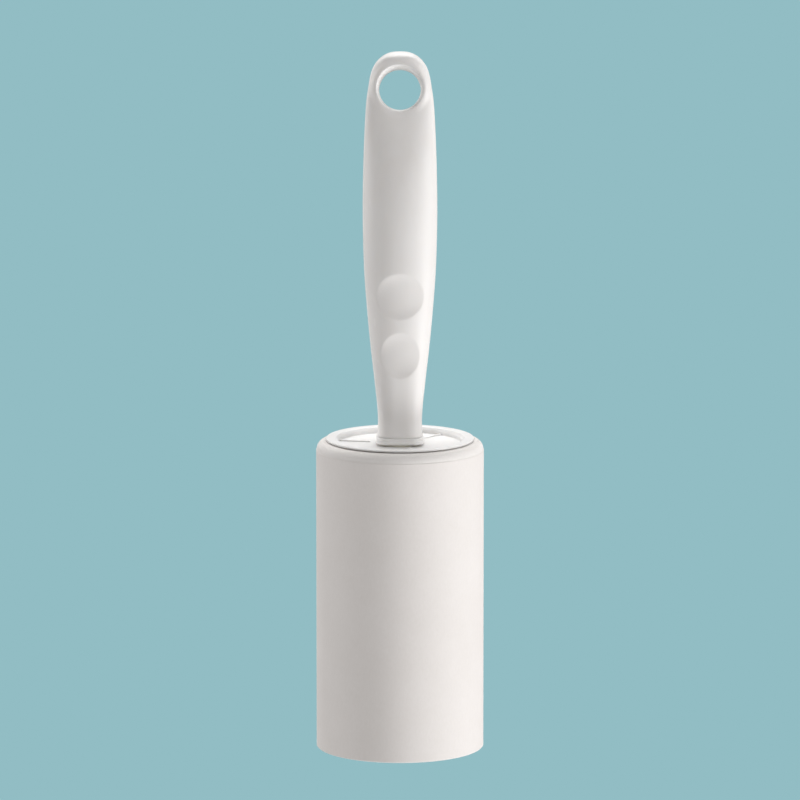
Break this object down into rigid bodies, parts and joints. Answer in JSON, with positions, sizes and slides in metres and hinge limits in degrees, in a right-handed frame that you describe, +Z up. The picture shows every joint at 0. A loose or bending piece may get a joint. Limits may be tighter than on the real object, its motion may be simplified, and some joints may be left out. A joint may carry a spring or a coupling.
{
  "type": "lint roller",
  "caption": "Hand-held lint roller: a sticky paper roll on a spinning carrier under a slim hollow handle with two thumb dishes and a hanging hole.",
  "frame": {"origin": "centre of the roll's lower end face, which is the face it stands on", "axes": "+Z up along the roll and the axle towards the handle; -Y is the thumb side of the handle; +X is to the right seen from the thumb side"},
  "size_m": [0.0546, 0.0545, 0.2271],
  "materials": {
    "shell_plastic": "fine satin moulded surface",
    "trim_plastic": "semi-gloss moulded",
    "carrier_plastic": "semi-gloss moulded",
    "bearing_nylon": "natural nylon",
    "axle_steel": "drawn bright steel",
    "spring_steel": "rolled spring strip",
    "core_board": "spiral-wound board",
    "sheet_paper": "matte coated paper"
  },
  "bodies": {
    "handle": {"handle_front": "shell_plastic", "handle_rear": "shell_plastic", "hanging_eyelet": "trim_plastic", "neck_collar": "trim_plastic", "axle": "axle_steel", "axle_pin": "axle_steel", "thrust_washer": "bearing_nylon", "end_washer": "axle_steel", "retaining_screw": "axle_steel"},
    "carrier": {"carrier_flange": "carrier_plastic", "carrier_tube": "carrier_plastic", "carrier_end_cap": "carrier_plastic", "upper_bush": "bearing_nylon", "lower_bush": "bearing_nylon", "grip_spring_1": "spring_steel", "grip_spring_2": "spring_steel", "grip_spring_3": "spring_steel"},
    "roll": {"roll_core": "core_board", "paper_roll": "sheet_paper", "lead_sheet": "sheet_paper"}
  },
  "joints": [
    {"name": "roll_spin", "type": "hinge", "parent": "handle", "child": "carrier", "pos_m": [0, 0, 0.05], "axis": [0, 0, 1], "continuous": true},
    {"name": "refill_slide", "type": "slide", "parent": "carrier", "child": "roll", "axis": [0, 0, -1], "range_m": [0, 0.11]}
  ]
}
